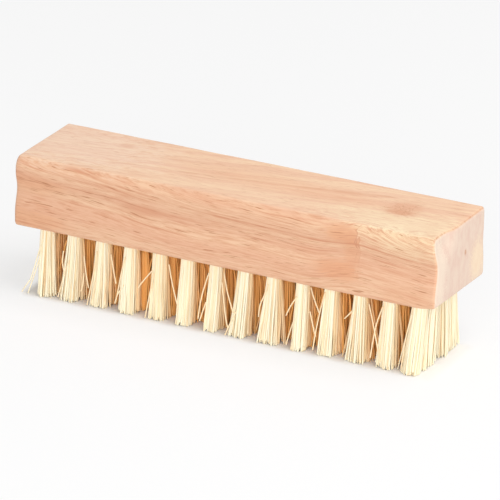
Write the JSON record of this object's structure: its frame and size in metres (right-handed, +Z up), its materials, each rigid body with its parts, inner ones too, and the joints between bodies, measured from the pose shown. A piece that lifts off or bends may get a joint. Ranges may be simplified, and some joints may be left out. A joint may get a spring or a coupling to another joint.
{
  "type": "nail brush",
  "caption": "Wooden hand and nail brush: a moulded hardwood block with a finger groove along each long side and straight rows of stiff, flat-trimmed plant-fibre tufts.",
  "frame": {"origin": "centre of the footprint, on the plane of the trimmed fibre ends that the brush stands on", "axes": "+X along the block's length, +Y across its width towards the back row of tufts, +Z up through the block's flat top"},
  "size_m": [0.12, 0.029, 0.0382],
  "materials": {
    "hardwood": "planed and sanded, unvarnished, pinkish tan with fine dark pores",
    "tampico_fibre": "stiff natural plant fibre, cream, satin"
  },
  "bodies": {
    "root": {"block": "hardwood", "tuft_row1_01": "tampico_fibre", "tuft_row1_02": "tampico_fibre", "tuft_row1_03": "tampico_fibre", "tuft_row1_04": "tampico_fibre", "tuft_row1_05": "tampico_fibre", "tuft_row1_06": "tampico_fibre", "tuft_row1_07": "tampico_fibre", "tuft_row1_08": "tampico_fibre", "tuft_row1_09": "tampico_fibre", "tuft_row1_10": "tampico_fibre", "tuft_row1_11": "tampico_fibre", "tuft_row1_12": "tampico_fibre", "tuft_row1_13": "tampico_fibre", "tuft_row1_14": "tampico_fibre", "tuft_row2_01": "tampico_fibre", "tuft_row2_02": "tampico_fibre", "tuft_row2_03": "tampico_fibre", "tuft_row2_04": "tampico_fibre", "tuft_row2_05": "tampico_fibre", "tuft_row2_06": "tampico_fibre", "tuft_row2_07": "tampico_fibre", "tuft_row2_08": "tampico_fibre", "tuft_row2_09": "tampico_fibre", "tuft_row2_10": "tampico_fibre", "tuft_row2_11": "tampico_fibre", "tuft_row2_12": "tampico_fibre", "tuft_row2_13": "tampico_fibre", "tuft_row2_14": "tampico_fibre", "tuft_row3_01": "tampico_fibre", "tuft_row3_02": "tampico_fibre", "tuft_row3_03": "tampico_fibre", "tuft_row3_04": "tampico_fibre", "tuft_row3_05": "tampico_fibre", "tuft_row3_06": "tampico_fibre", "tuft_row3_07": "tampico_fibre", "tuft_row3_08": "tampico_fibre", "tuft_row3_09": "tampico_fibre", "tuft_row3_10": "tampico_fibre", "tuft_row3_11": "tampico_fibre", "tuft_row3_12": "tampico_fibre", "tuft_row3_13": "tampico_fibre", "tuft_row3_14": "tampico_fibre", "tuft_row4_01": "tampico_fibre", "tuft_row4_02": "tampico_fibre", "tuft_row4_03": "tampico_fibre", "tuft_row4_04": "tampico_fibre", "tuft_row4_05": "tampico_fibre", "tuft_row4_06": "tampico_fibre", "tuft_row4_07": "tampico_fibre", "tuft_row4_08": "tampico_fibre", "tuft_row4_09": "tampico_fibre", "tuft_row4_10": "tampico_fibre", "tuft_row4_11": "tampico_fibre", "tuft_row4_12": "tampico_fibre", "tuft_row4_13": "tampico_fibre", "tuft_row4_14": "tampico_fibre"}
  },
  "joints": []
}
